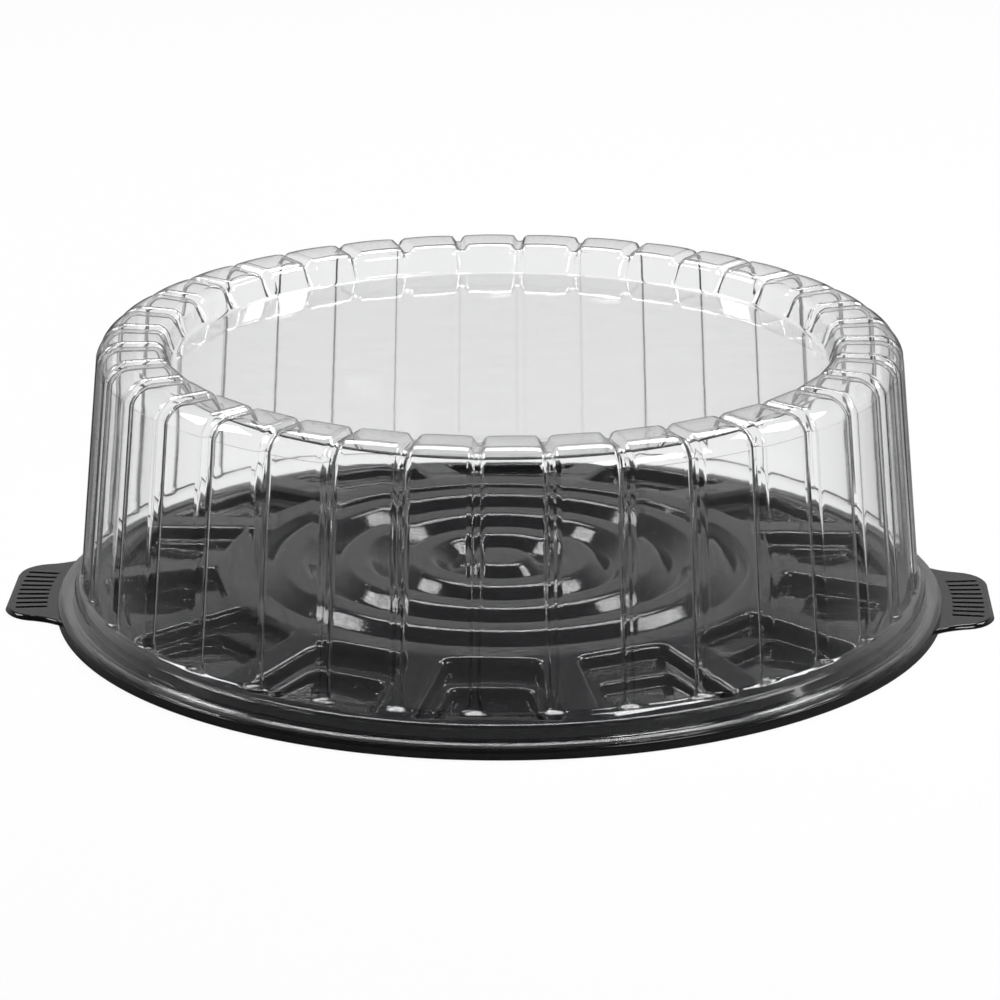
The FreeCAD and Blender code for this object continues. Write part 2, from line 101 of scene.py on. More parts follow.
@dataclass(frozen=True)
class Term:
    """One output of a node, on which arithmetic adds Math nodes.

    Attributes:
        graph: The graph that the output belongs to.
        socket: The output socket.
    """

    graph: "Graph"
    socket: bpy.types.NodeSocket

    def _join(self, operation: str, left: "Operand", right: "Operand") -> "Term":
        """Adds a Math node.

        Args:
            operation: The node's operation.
            left: The first operand.
            right: The second operand.

        Returns:
            The node's output.
        """
        node = self.graph.add("ShaderNodeMath", {"operation": operation}, {0: left, 1: right})
        return self.graph.out(node)

    def __add__(self, other: "Operand") -> "Term":
        """Adds."""
        return self._join("ADD", self, other)

    def __radd__(self, other: "Operand") -> "Term":
        """Adds, from the right."""
        return self._join("ADD", other, self)

    def __rsub__(self, other: "Operand") -> "Term":
        """Subtracts, from the right."""
        return self._join("SUBTRACT", other, self)

    def __mul__(self, other: "Operand") -> "Term":
        """Multiplies."""
        return self._join("MULTIPLY", self, other)

    def least(self, other: "Operand") -> "Term":
        """Takes the smaller of two values."""
        return self._join("MINIMUM", self, other)

    def most(self, other: "Operand") -> "Term":
        """Takes the larger of two values."""
        return self._join("MAXIMUM", self, other)


Operand = Union[Term, int, float]


@dataclass(frozen=True)
class Noise:
    """Cloudy noise.

    Attributes:
        scale: The number of clouds in a metre.
        detail: The number of finer layers in them.
    """

    scale: float
    detail: float


@dataclass(frozen=True)
class Relief:
    """A fine relief that only tilts the light.

    Attributes:
        strength: How strongly it shows, from 0 to 1.
        depth: Its depth, in millimetres.
    """

    strength: float
    depth: float


class Graph:
    """The node tree of one material or of the world."""

    def __init__(self, tree: bpy.types.NodeTree) -> None:
        """Starts from an empty tree."""
        tree.nodes.clear()
        self.tree = tree

    def add(
        self,
        kind: str,
        settings: Optional[Mapping[str, Any]] = None,
        inputs: Optional[Mapping[Union[str, int], Any]] = None,
    ) -> bpy.types.Node:
        """Adds a node.

        Args:
            kind: The node's type.
            settings: Its properties, set first.
            inputs: The values or links of its sockets, by name or number.

        Returns:
            The node.
        """
        node = self.tree.nodes.new(kind)
        for name, setting in (settings or {}).items():
            setattr(node, name, setting)
        for key, value in (inputs or {}).items():
            if isinstance(value, Term):
                self.tree.links.new(value.socket, node.inputs[key])
            else:
                node.inputs[key].default_value = value
        return node

    def out(self, node: bpy.types.Node, name: Union[str, int] = 0) -> Term:
        """Wraps an output of a node."""
        return Term(self, node.outputs[name])

    def noise(self, place: Term, noise: Noise) -> Term:
        """Adds noise that is read at a place."""
        inputs = {"Vector": place, "Scale": noise.scale, "Detail": noise.detail}
        return self.out(self.add("ShaderNodeTexNoise", {}, inputs))

    def bump(self, relief: Relief, height: Term) -> Term:
        """Adds the normals of a relief, whose height is given."""
        inputs = {"Strength": relief.strength, "Distance": relief.depth * MM, "Height": height}
        return self.out(self.add("ShaderNodeBump", {}, inputs))

    def ramp(self, stops: Sequence[tuple[float, float]], place: Term) -> Term:
        """Adds a ramp of greys.

        Args:
            stops: The places and levels, in order, of which there are two or more.
            place: Where the ramp is read.

        Returns:
            The colour there.
        """
        node = self.add("ShaderNodeValToRGB", {}, {0: place})
        elements = node.color_ramp.elements
        while len(elements) < len(stops):
            elements.new(1.0)
        for element, (position, level) in zip(elements, stops):
            element.position = position
            element.color = grey(level)
        return self.out(node)

    def blend(self, share: Operand, first: Any, second: Any, mode: str = "MIX") -> Term:
        """Blends two colours by the share of the second.

        A Mix node keeps the sockets of its colours after those of its values and vectors.
        """
        settings = {"data_type": "RGBA", "blend_type": mode}
        return self.out(self.add("ShaderNodeMix", settings, {0: share, 6: first, 7: second}), 2)

    def mix(self, share: Term, first: bpy.types.Node, second: bpy.types.Node) -> bpy.types.Node:
        """Mixes two shaders by the share of the second."""
        inputs = {0: share, 1: self.out(first), 2: self.out(second)}
        return self.add("ShaderNodeMixShader", {}, inputs)


def grey(level: float) -> Colour:
    """Gives a neutral colour."""
    return (level, level, level, 1.0)


def start_material(name: str) -> tuple[bpy.types.Material, Graph]:
    """Makes a material and its empty graph."""
    material = bpy.data.materials.new(name)
    material.use_nodes = True
    return material, Graph(material.node_tree)


def straight_view(graph: Graph) -> tuple[Term, Term]:
    """Tells rays that look straight at the surroundings, or through the clear dome, from the rest.

    Args:
        graph: The graph that gets the nodes.

    Returns:
        A term that is one for such rays, and one that is one for reflections of the surroundings.
    """
    path = graph.add("ShaderNodeLightPath")
    seen = graph.out(path, "Is Camera Ray").most(graph.out(path, "Is Transmission Ray"))
    mirrored = graph.out(path, "Glossy Depth").least(1)
    bounced = mirrored.most(graph.out(path, "Diffuse Depth").least(1))
    return seen * (1 - bounced), mirrored


# Finishes


@dataclass(frozen=True)
class BlackSheet:
    """Glossy black plastic that was formed from a hot sheet.

    Attributes:
        name: The material's name.
        deep: The colour of the sheet.
        worn: The colour where handling has dulled it.
        roughness: The roughness of the polished sheet.
        haze: How much the roughness rises in the dull patches.
        refraction: The index of refraction.
        clouds: The dull patches.
        ripple: The waves that forming has left.
        grain: The fine grain.
        ripple_share: The share of the waves in the relief; the grain has the rest.
        relief: The relief of both.
    """

    name: str = "black_sheet"
    deep: Colour = (0.006, 0.006, 0.007, 1.0)
    worn: Colour = (0.010, 0.010, 0.011, 1.0)
    roughness: float = 0.05
    haze: float = 0.06
    refraction: float = 1.5
    clouds: Noise = Noise(45.0, 4.0)
    ripple: Noise = Noise(130.0, 2.0)
    grain: Noise = Noise(1500.0, 1.0)
    ripple_share: float = 0.8
    relief: Relief = Relief(0.05, 0.4)

    def make(self) -> bpy.types.Material:
        """Makes the material."""
        material, graph = start_material(self.name)
        place = graph.out(graph.add("ShaderNodeTexCoord"), "Object")
        clouds = graph.noise(place, self.clouds)
        ripple = graph.noise(place, self.ripple)
        grain = graph.noise(place, self.grain)
        tone = graph.blend(clouds, self.deep, self.worn)
        height = ripple * self.ripple_share + grain * (1.0 - self.ripple_share)
        bump = graph.bump(self.relief, height)
        shader = graph.add("ShaderNodeBsdfPrincipled", {}, {
            "Base Color": tone,
            "Roughness": self.roughness + clouds * self.haze,
            "IOR": self.refraction,
            "Normal": bump,
        })
        graph.add("ShaderNodeOutputMaterial", {}, {"Surface": graph.out(shader)})
        return material


@dataclass(frozen=True)
class ClearSheet:
    """Clear plastic sheet, which lets light through to what lies under it.

    Attributes:
        name: The material's name.
        tint: The colour that each skin gives to what is seen through it.
        shade: The share of the light that the sheet lets through to the tray.
        roughness: The roughness of the polished sheet.
        haze: How much the roughness rises in the dull patches.
        refraction: The index of refraction.
        clouds: The dull patches.
        waves: The waves that forming has left.
        relief: The relief of the waves.
    """

    name: str = "clear_sheet"
    tint: Colour = (0.995, 0.997, 0.997, 1.0)
    shade: Colour = (0.90, 0.91, 0.91, 1.0)
    roughness: float = 0.012
    haze: float = 0.03
    refraction: float = 1.49
    clouds: Noise = Noise(28.0, 3.0)
    waves: Noise = Noise(60.0, 1.0)
    relief: Relief = Relief(0.10, 1.0)

    def make(self) -> bpy.types.Material:
        """Makes the material."""
        material, graph = start_material(self.name)
        place = graph.out(graph.add("ShaderNodeTexCoord"), "Object")
        clouds = graph.noise(place, self.clouds)
        bump = graph.bump(self.relief, graph.noise(place, self.waves))
        sheet = graph.add("ShaderNodeBsdfPrincipled", {}, {
            "Base Color": self.tint,
            "Roughness": self.roughness + clouds * self.haze,
            "IOR": self.refraction,
            "Transmission Weight": 1.0,
            "Normal": bump,
        })
        clear = graph.add("ShaderNodeBsdfTransparent", {}, {"Color": self.shade})
        path = graph.add("ShaderNodeLightPath")
        mixed = graph.mix(graph.out(path, "Is Shadow Ray"), sheet, clear)
        graph.add("ShaderNodeOutputMaterial", {}, {"Surface": graph.out(mixed)})
        return material


@dataclass(frozen=True)
class PaleFloor:
    """A plain white floor, on which the object leaves a faint shadow.

    Attributes:
        name: The material's name.
        colour: The floor's colour under the lamps.
        mirrored: Its colour in reflections, a painted shade that stands in for the dim studio
            around it.
        shadow: How much of the lamps' light and shade shows where the floor is seen straight.
    """

    name: str = "pale_floor"
    colour: Colour = grey(0.80)
    mirrored: Colour = grey(0.16)
    shadow: float = 0.06

    def make(self) -> bpy.types.Material:
        """Makes the material."""
        material, graph = start_material(self.name)
        seen, mirrored = straight_view(graph)
        pale = graph.add("ShaderNodeBsdfDiffuse", {}, {"Color": self.colour})
        # Painted shade: reflections see the floor in a dark grey instead of its own colour.
        dim = graph.add("ShaderNodeBsdfDiffuse", {}, {"Color": self.mirrored})
        white = graph.add("ShaderNodeEmission", {}, {"Color": grey(1.0), "Strength": 1.0})
        lit = graph.mix(mirrored, pale, dim)
        mixed = graph.mix(seen * (1 - self.shadow), lit, white)
        graph.add("ShaderNodeOutputMaterial", {}, {"Surface": graph.out(mixed)})
        return material


# Modelling


@dataclass(frozen=True)
class Corner:
    """A corner of a turned section.

    Attributes:
        radius: The distance from the upright axis, in millimetres.
        height: The height, in millimetres.
        rounding: Its rounding, if it has one.
    """

    radius: float
    height: float
    rounding: Optional[Rounding] = None


def unit(value: float) -> float:
    """Keeps a value between 0 and 1."""
    return min(1.0, max(0.0, value))


def steepness(face: bmesh.types.BMFace) -> float:
    """Gives how far a face leans from level, from 0 to 1."""
    return 1.0 - abs(face.normal.z)


def verts_of(faces: Iterable[bmesh.types.BMFace]) -> set[bmesh.types.BMVert]:
    """Gathers the corners of faces."""
    return {vert for face in faces for vert in face.verts}


def round_corners(
    bm: bmesh.types.BMesh, verts: Iterable[bmesh.types.BMVert], rounding: Rounding
) -> None:
    """Rounds corners of a wire or of a flat face.

    Args:
        bm: The mesh.
        verts: The corners to round.
        rounding: Their rounding.
    """
    reach, segments = rounding
    bmesh.ops.bevel(
        bm, geom=list(verts), offset=reach * MM, offset_type="OFFSET", affect="VERTICES",
        segments=segments, profile=ARC, material=-1, clamp_overlap=True,
    )


def round_edges(
    bm: bmesh.types.BMesh, edges: Iterable[bmesh.types.BMEdge], rounding: Rounding,
    clamp: bool = True,
) -> None:
    """Rounds edges.

    Args:
        bm: The mesh.
        edges: The edges to round.
        rounding: Their rounding.
        clamp: Whether the rounding gives way where two of them might meet.
    """
    reach, segments = rounding
    bmesh.ops.bevel(
        bm, geom=list(edges), offset=reach * MM, offset_type="OFFSET", affect="EDGES",
        segments=segments, profile=ARC, material=-1, clamp_overlap=clamp,
    )


def sink_faces(
    bm: bmesh.types.BMesh, faces: list[bmesh.types.BMFace], inset: float, depth: float
) -> None:
    """Insets faces and lowers them.

    Args:
        bm: The mesh.
        faces: The faces, which stay inside the inset.
        inset: The width of the inset, in millimetres.
        depth: How far they go down, in millimetres.
    """
    bmesh.ops.inset_region(
        bm, faces=faces, use_boundary=True, use_even_offset=True, thickness=inset * MM,
        depth=-depth * MM,
    )


def turn_mesh(bm: bmesh.types.BMesh, angle: float) -> None:
    """Turns a whole mesh about the upright axis, by an angle in radians."""
    bmesh.ops.rotate(bm, verts=bm.verts[:], matrix=Matrix.Rotation(angle, 3, "Z"))


def turn_section(bm: bmesh.types.BMesh, corners: Sequence[Corner], steps: int) -> None:
    """Draws a section as a wire, rounds its corners and turns it once round the upright axis.

    Args:
        bm: The mesh that gets the turned sheet.
        corners: The corners of the section, in order.
        steps: The number of steps of the turn.
    """
    part = bmesh.new()
    verts = [part.verts.new((corner.radius * MM, 0.0, corner.height * MM)) for corner in corners]
    for start, end in zip(verts, verts[1:]):
        part.edges.new((start, end))
    for vert, corner in zip(verts, corners):
        if corner.rounding:
            round_corners(part, [vert], corner.rounding)
    bmesh.ops.spin(
        part, geom=part.verts[:] + part.edges[:], cent=ORIGIN, axis=UPRIGHT, dvec=ORIGIN,
        angle=math.tau, steps=steps, use_merge=True, use_duplicate=False,
    )
    add_mesh(bm, part)


def add_mesh(bm: bmesh.types.BMesh, part: bmesh.types.BMesh) -> None:
    """Adds a part to a mesh and frees the part."""
    carrier = bpy.data.meshes.new("part")
    part.to_mesh(carrier)
    part.free()
    bm.from_mesh(carrier)
    bpy.data.meshes.remove(carrier)


def face_up(bm: bmesh.types.BMesh) -> None:
    """Points the faces of a formed sheet upwards and outwards.

    Args:
        bm: The sheet, whose doubles are merged here.
    """
    bmesh.ops.remove_doubles(bm, verts=bm.verts[:], dist=MERGED * MM)
    bmesh.ops.recalc_face_normals(bm, faces=bm.faces[:])
    bm.normal_update()
    if sum(face.normal.z * face.calc_area() for face in bm.faces) < 0:
        bmesh.ops.reverse_faces(bm, faces=bm.faces[:])
        bm.normal_update()


def add_object(name: str, data: bpy.types.ID) -> bpy.types.Object:
    """Makes an object of its data and links it to the scene."""
    made = bpy.data.objects.new(name, data)
    bpy.context.scene.collection.objects.link(made)
    return made


def finish_piece(
    name: str, bm: bmesh.types.BMesh, material: bpy.types.Material, body: Body,
    wall: Optional[float] = None,
) -> bpy.types.Object:
    """Makes an object of a mesh, gives it a wall and puts it on its body.

    Args:
        name: The piece's name.
        bm: The mesh, which is freed.
        material: Its material.
        body: The body that it rides on.
        wall: The thickness of a sheet under its outer skin, in millimetres.

    Returns:
        The object.
    """
    for face in bm.faces:
        face.smooth = True
    mesh = bpy.data.meshes.new(name)
    bm.to_mesh(mesh)
    bm.free()
    mesh.materials.append(material)
    piece = add_object(name, mesh)
    if wall is not None:
        solid = piece.modifiers.new("wall", "SOLIDIFY")
        solid.thickness = wall * MM
        solid.offset = -1.0
    weighted = piece.modifiers.new("flats", "WEIGHTED_NORMAL")
    weighted.mode = "FACE_AREA_WITH_ANGLE"
    weighted.weight = FLAT_WEIGHT
    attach(piece, body.value)
    return piece


# The dome


@dataclass
class Dome:
    """The clear fluted dome; sizes are in millimetres and degrees.

    Attributes:
        wall: The thickness of the sheet.
        flange_edge: The radius of the flange's edge.
        flange_top: The height of the flange's upper skin.
        flange_round: The rounding between the flange and the band.
        band_foot: The radius of the band at its foot.
        band_top: The radius of the band at its top.
        band_height: The height of the band's top.
        band_round: The rounding of the band's top.
        knee_radius: The radius of the knee from which the band leans in.
        knee_height: The height of that knee.
        knee_round: The rounding of that knee.
        panel_foot: The radius of the fluted wall at its foot.
        panel_foot_height: The height of the fluted wall's foot.
        panel_foot_round: The rounding of the fluted wall's foot.
        low_rise: How far over that foot the lowest ring of points lies.
        mid_rise: How far over that foot the highest ring of points lies.
        crest_radius: The radius of the crest's outer corner before rounding.
        crest_height: The height of that corner.
        crest_round: The rounding of that corner.
        brow_radius: The radius of the crease between the crest and the wall.
        brow_height: The height of that crease.
        brow_round: The rounding of that crease.
        brow_margin: How far over that crease the flutes are still pressed in level.
        sill_radius: The radius of the crest's inner corner before rounding.
        sill_height: The height of that corner.
        sill_round: The rounding of that corner.
        top_radius: The radius of the sunk top.
        top_height: The height of the sunk top.
        top_round: The rounding of the sunk top's edge.
        top_border: The width of the border of the sunk top.
        top_margin: How far from the sunk top the flutes begin.
        flutes: The number of flutes.
        turn: The angle of the first flute.
        flute_half: Half the width of a flute.
        flute_floor: Half the width of its floor.
        flute_depth: The depth of a flute.
        foot_fade: The height over which the flutes begin at the wall's foot.
        top_fade: The height over which they begin at the sunk top.
        flare: How much wider half a flute is at its foot.
        flare_height: The height over which the flare closes.
        pillow: How much a panel swells between its flutes.
        steps: The number of steps of the turn between two flutes.
        crowd: How far the steps are spread where they crowd at a flute.
    """

    wall: float = 0.5
    flange_edge: float = 154.3
    flange_top: float = 3.9
    flange_round: Rounding = (1.0, 4)
    band_foot: float = 149.0
    band_top: float = 147.1
    band_height: float = 12.3
    band_round: Rounding = (1.0, 5)
    knee_radius: float = 148.8
    knee_height: float = 9.4
    knee_round: Rounding = (1.6, 5)
    panel_foot: float = 146.1
    panel_foot_height: float = 13.0
    panel_foot_round: Rounding = (0.5, 3)
    low_rise: float = 2.5
    mid_rise: float = 45.0
    crest_radius: float = 137.1
    crest_height: float = 97.5
    crest_round: Rounding = (7.2, 10)
    brow_radius: float = 138.95
    brow_height: float = 90.5
    brow_round: Rounding = (0.6, 2)
    brow_margin: float = 0.5
    sill_radius: float = 115.8
    sill_height: float = 97.2
    sill_round: Rounding = (3.6, 6)
    top_radius: float = 113.2
    top_height: float = 87.6
    top_round: Rounding = (1.2, 4)
    top_border: float = 3.0
    top_margin: float = 0.5
    flutes: int = 36
    turn: float = -1.6
    flute_half: float = 2.4
    flute_floor: float = 0.7
    flute_depth: float = 2.0
    foot_fade: float = 0.5
    top_fade: float = 5.0
    flare: float = 2.4
    flare_height: float = 3.6
    pillow: float = 0.35
    steps: int = 20
    crowd: float = 0.12

    def corners(self) -> list[Corner]:
        """Lists the corners of the dome's outer skin, from the axis to the flange."""
        lean = (self.panel_foot - self.brow_radius) / (self.brow_height - self.panel_foot_height)
        wall = [
            Corner(self.panel_foot - lean * rise, self.panel_foot_height + rise)
            for rise in (self.mid_rise, self.flare_height, self.low_rise)
        ]
        return [
            Corner(0.0, self.top_height),
            Corner(self.top_radius / 2.0, self.top_height),
            Corner(self.top_radius - self.top_border, self.top_height),
            Corner(self.top_radius, self.top_height, self.top_round),
            Corner(self.sill_radius, self.sill_height, self.sill_round),
            Corner(self.crest_radius, self.crest_height, self.crest_round),
            Corner(self.brow_radius, self.brow_height, self.brow_round),
            *wall,
            Corner(self.panel_foot, self.panel_foot_height, self.panel_foot_round),
            Corner(self.band_top, self.band_height, self.band_round),
            Corner(self.knee_radius, self.knee_height, self.knee_round),
            Corner(self.band_foot, self.flange_top, self.flange_round),
            Corner(self.flange_edge, self.flange_top),
        ]

    def flute(self, bm: bmesh.types.BMesh) -> None:
        """Presses the flutes into the turned sheet, and swells the panels between them.

        Args:
            bm: The turned sheet.
        """
        half_pitch = math.pi / self.flutes
        start = math.radians(self.turn)
        moves = {}
        for vert in bm.verts:
            radius, height = vert.co.xy.length / MM, vert.co.z / MM
            strength = self.strength(radius, height)
            if not strength:
                continue
            cell = (math.atan2(vert.co.y, vert.co.x) - start) / (2.0 * half_pitch)
            share = 2.0 * (cell - round(cell))
            spread = self.crowd * share + (1.0 - self.crowd) * share ** 3
            turned = Matrix.Rotation((spread - share) * half_pitch, 3, "Z")
            depth = self.depth(abs(spread) * half_pitch * radius, height)
            depth += self.pillow * (1.0 - abs(spread)) ** 2
            outward = vert.normal.copy()
            if radius > self.crest_radius and height < self.brow_height + self.brow_margin:
                outward = Vector((vert.co.x, vert.co.y, 0.0)).normalized()
            moves[vert] = turned @ (vert.co - outward * (depth * strength * MM))
        for vert, place in moves.items():
            vert.co = place

    def strength(self, radius: float, height: float) -> float:
        """Gives how strongly the flutes are pressed at a place.

        Args:
            radius: The distance from the axis.
            height: The height.

        Returns:
            From 0, not at all, to 1, in full.
        """
        if radius > self.sill_radius:
            return unit((height - self.panel_foot_height + self.foot_fade) / self.foot_fade)
        if radius < self.top_radius - self.top_margin:
            return 0.0
        return unit((height - self.top_height - self.top_margin) / self.top_fade)

    def depth(self, aside: float, height: float) -> float:
        """Gives the depth of a flute, whose edges are rounded and whose foot flares.

        Args:
            aside: The distance from the flute's middle.
            height: The height.

        Returns:
            The depth.
        """
        closing = unit((height - self.panel_foot_height) / self.flare_height)
        half = self.flute_half + self.flare * (1.0 - closing)
        climb = unit((half - aside) / (half - self.flute_floor))
        return self.flute_depth * climb * climb * (3.0 - 2.0 * climb)

    def build(self, material: bpy.types.Material) -> bpy.types.Object:
        """Builds the dome.

        Args:
            material: Its finish.

        Returns:
            The dome's object.
        """
        bm = bmesh.new()
        turn_section(bm, self.corners(), self.flutes * self.steps)
        face_up(bm)
        self.flute(bm)
        shell = finish_piece("dome_shell", bm, material, Body.LID, self.wall)
        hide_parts("dome_lid")
        return shell


# The tray


@dataclass
class Tray:
    """The black tray; sizes are in millimetres.

    Attributes:
        wall: The thickness of the sheet.
        deck_radius: The outer radius of the flat deck.
        deck_height: The height of the deck.
        climb_gap: The width of the valley before the climb to the deck.
        climb_run: The width of that climb.
        climb_foot_round: The rounding at the foot of that climb.
        climb_round: The rounding at its top.
        ridge_height: The height of the ring ridges.
        valley_height: The height of the valleys between them.
        boss_radius: The radius of the flat boss in the middle.
        ridge_radii: The radii of the ridges' middles.
        ridge_half: Half the width of a ridge's flat top.
        ridge_run: The width of a ridge's slope.
        ridge_round: The rounding of a ridge's edges.
        valley_round: The rounding of a valley's edges.
        shoulder_radius: The outer radius of the sloping shoulder.
        shoulder_height: Its height there.
        shoulder_round: Its rounding there.
        rim: The corners of the rim, from the seat of the dome's flange to the edge of the skirt.
        pockets: The number of pockets in the shoulder.
        spoke: The width of the spokes between them.
        pocket_near: The distance of a pocket's inner edge.
        pocket_far: The distance of its outer edge.
        pocket_depth: Its depth down to the ledge.
        well_near: The distance of the inner edge of the well in it.
        well_slope: The slope of the well's floor, as a ratio.
        well_floor: The height of the well's floor at its inner edge.
        well_draft: The width that the well's wall takes.
        well_start: How far the well's wall is drawn down before its floor is set.
        ledge: The width of the ledge round the well.
        ledge_band: How far behind the ledge's inner edge its points still belong to that edge.
        draft: The width that the pocket's wall takes.
        corner_round: The rounding of a pocket's corners.
        mouth_round: The rounding of its mouth.
        mouth_band: How far below the shoulder an edge still belongs to the mouth.
        brink_round: The rounding of the well's edge.
        foot_round: The rounding at the foot of its walls.
        columns: The number of columns across a pocket and its spokes.
        crowd: How far the columns between a pocket's sides are drawn to its middle.
    """

    wall: float = 0.7
    deck_radius: float = 96.0
    deck_height: float = 14.0
    climb_gap: float = 2.0
    climb_run: float = 2.0
    climb_foot_round: Rounding = (0.9, 3)
    climb_round: Rounding = (0.9, 4)
    ridge_height: float = 16.0
    valley_height: float = 11.2
    boss_radius: float = 10.0
    ridge_radii: tuple[float, ...] = (28.1, 50.6, 73.1)
    ridge_half: float = 4.6
    ridge_run: float = 5.4
    ridge_round: Rounding = (1.7, 5)
    valley_round: Rounding = (1.6, 4)
    shoulder_radius: float = 142.6
    shoulder_height: float = 7.0
    shoulder_round: Rounding = (1.3, 4)
    rim: tuple[Corner, ...] = (
        Corner(147.0, 2.2, (1.4, 4)),
        Corner(151.2, 2.2, (0.5, 3)),
        Corner(152.2, 3.4, (0.5, 3)),
        Corner(154.2, 3.4, (0.5, 4)),
        Corner(154.95, 0.2),
    )
    pockets: int = 14
    spoke: float = 13.6
    pocket_near: float = 98.5
    pocket_far: float = 136.5
    pocket_depth: float = 5.0
    well_near: float = 108.4
    well_slope: float = 0.052
    well_floor: float = 2.9
    well_draft: float = 0.72
    well_start: float = 1.0
    ledge: float = 3.0
    ledge_band: float = 2.0
    draft: float = 0.9
    corner_round: Rounding = (2.6, 5)
    mouth_round: Rounding = (1.9, 5)
    mouth_band: float = 1.0
    brink_round: Rounding = (1.5, 4)
    foot_round: Rounding = (0.7, 3)
    columns: int = 12
    crowd: float = 0.55

    def deck_corners(self) -> list[Corner]:
        """Lists the corners of the deck and its ridges, from the axis outwards."""
        top, valley = self.ridge_height, self.valley_height
        corners = [
            Corner(0.0, top),
            Corner(self.boss_radius, top, self.ridge_round),
            Corner(self.boss_radius + self.ridge_run, valley, self.valley_round),
        ]
        foot = self.ridge_half + self.ridge_run
        for radius in self.ridge_radii:
            corners += [
                Corner(radius - foot, valley, self.valley_round),
                Corner(radius - self.ridge_half, top, self.ridge_round),
                Corner(radius + self.ridge_half, top, self.ridge_round),
                Corner(radius + foot, valley, self.valley_round),
            ]
        climb = self.ridge_radii[-1] + foot + self.climb_gap
        return corners + [
            Corner(climb, valley, self.climb_foot_round),
            Corner(climb + self.climb_run, self.deck_height, self.climb_round),
            Corner(self.deck_radius, self.deck_height),
        ]

    def rim_corners(self) -> list[Corner]:
        """Lists the corners of the rim, from the shoulder to the edge of the skirt."""
        return [Corner(self.shoulder_radius, self.shoulder_height), *self.rim]

    def slope_at(self, radius: float) -> float:
        """Gives the height of the shoulder at a radius."""
        run = self.shoulder_radius - self.deck_radius
        fall = (self.deck_height - self.shoulder_height) / run
        return self.deck_height - (radius - self.deck_radius) * fall

    def pocket_half(self, along: float) -> float:
        """Gives half the width of a pocket at a distance along its middle."""
        half_pitch = math.pi / self.pockets
        return along * math.tan(half_pitch) - self.spoke / 2.0 / math.cos(half_pitch)

    def lay_sector(self, bm: bmesh.types.BMesh) -> list[bmesh.types.BMFace]:
        """Lays out one pocket and half of the spokes beside it on the sloping shoulder.

        Args:
            bm: An empty mesh.

        Returns:
            The faces of the pocket's mouth.
        """
        half_pitch = math.pi / self.pockets
        rows = (self.deck_radius, self.pocket_near, self.pocket_far, self.shoulder_radius)
        last_row, last = len(rows) - 1, self.columns
        bmesh.ops.create_grid(bm, x_segments=last, y_segments=last_row, size=1.0)
        for vert in bm.verts:
            column = round((vert.co.x + 1.0) / 2.0 * last)
            row = round((vert.co.y + 1.0) / 2.0 * last_row)
            along = rows[row]
            if row in (0, last_row):
                angle = half_pitch * (2.0 * column / last - 1.0)
                along, aside = along * math.cos(angle), along * math.sin(angle)
            elif column in (0, last):
                aside = math.copysign(along * math.tan(half_pitch), column - 1)
            else:
                aside = self.pocket_half(along) * (2.0 * (column - 1) / (last - 2) - 1.0)
                if column not in (1, last - 1):
                    aside *= self.crowd
            height = self.slope_at(math.hypot(along, aside))
            vert.co = Vector((along, aside, height)) * MM
        face_up(bm)
        mouth = []
        for face in bm.faces:
            middle = face.calc_center_median() / MM
            between = self.pocket_near < middle.x < self.pocket_far
            if between and abs(middle.y) < self.pocket_half(middle.x):
                mouth.append(face)
        return mouth

    def shorten_floor(self, floor: list[bmesh.types.BMFace]) -> None:
        """Moves the inner edge of a pocket's floor out to where the well begins.

        Args:
            floor: The faces of the floor.
        """
        near = min(vert.co.x for vert in verts_of(floor))
        spread = math.tan(math.pi / self.pockets)
        shift = self.well_near * MM - near
        fall = (self.slope_at(self.well_near) - self.slope_at(near / MM)) * MM
        for vert in verts_of(floor):
            if vert.co.x < near + self.ledge_band * MM:
                half = abs(vert.co.y) / (near * spread)
                vert.co.y += math.copysign(shift * spread * half, vert.co.y)
                vert.co.x += shift
                vert.co.z += fall

    def form_pocket(self) -> bmesh.types.BMesh:
        """Forms one stepped pocket with half of the spokes beside it.

        Returns:
            The mesh of that sector, on the X axis.
        """
        bm = bmesh.new()
        floor = self.lay_sector(bm)
        sink_faces(bm, floor, self.draft, self.pocket_depth)
        sink_faces(bm, floor, self.ledge, 0.0)
        self.shorten_floor(floor)
        sink_faces(bm, floor, self.well_draft, self.well_start)
        for vert in verts_of(floor):
            past = vert.co.x - self.well_near * MM
            vert.co.z = self.well_floor * MM - past * self.well_slope
        bm.normal_update()
        self.round_pocket(bm)
        return bm

    def round_pocket(self, bm: bmesh.types.BMesh) -> None:
        """Rounds the corners of a pocket's walls and then the edges of its steps.

        Args:
            bm: The pocket's sector.
        """
        corners = [
            edge for edge in bm.edges
            if len(edge.link_faces) == 2 and edge.calc_face_angle() > CORNER_ANGLE
            and all(steepness(face) > WALL_LEAN for face in edge.link_faces)
        ]
        round_edges(bm, corners, self.corner_round)
        round_edges(bm, self.step_edges(bm, True, True), self.mouth_round, clamp=False)
        round_edges(bm, self.step_edges(bm, True, False), self.brink_round)
        round_edges(bm, self.step_edges(bm, False, False), self.foot_round)

    def step_edges(
        self, bm: bmesh.types.BMesh, convex: bool, upper: bool
    ) -> list[bmesh.types.BMEdge]:
        """Lists the edges of the steps in a pocket.

        Args:
            bm: The pocket's sector.
            convex: Whether to list the edges that stand out, or else those that lie in a nook.
            upper: Whether to list the edges of the mouth, or else those below it.

        Returns:
            The edges.
        """
        bm.normal_update()
        edges = []
        for edge in bm.edges:
            if len(edge.link_faces) != 2 or edge.calc_face_angle() < STEP_ANGLE:
                continue
            if min(steepness(face) for face in edge.link_faces) > LEVEL_LEAN:
                continue
            middle = (edge.verts[0].co + edge.verts[1].co) / 2.0 / MM
            high = middle.z > self.slope_at(middle.xy.length) - self.mouth_band
            if edge.is_convex == convex and high == upper:
                edges.append(edge)
        return edges

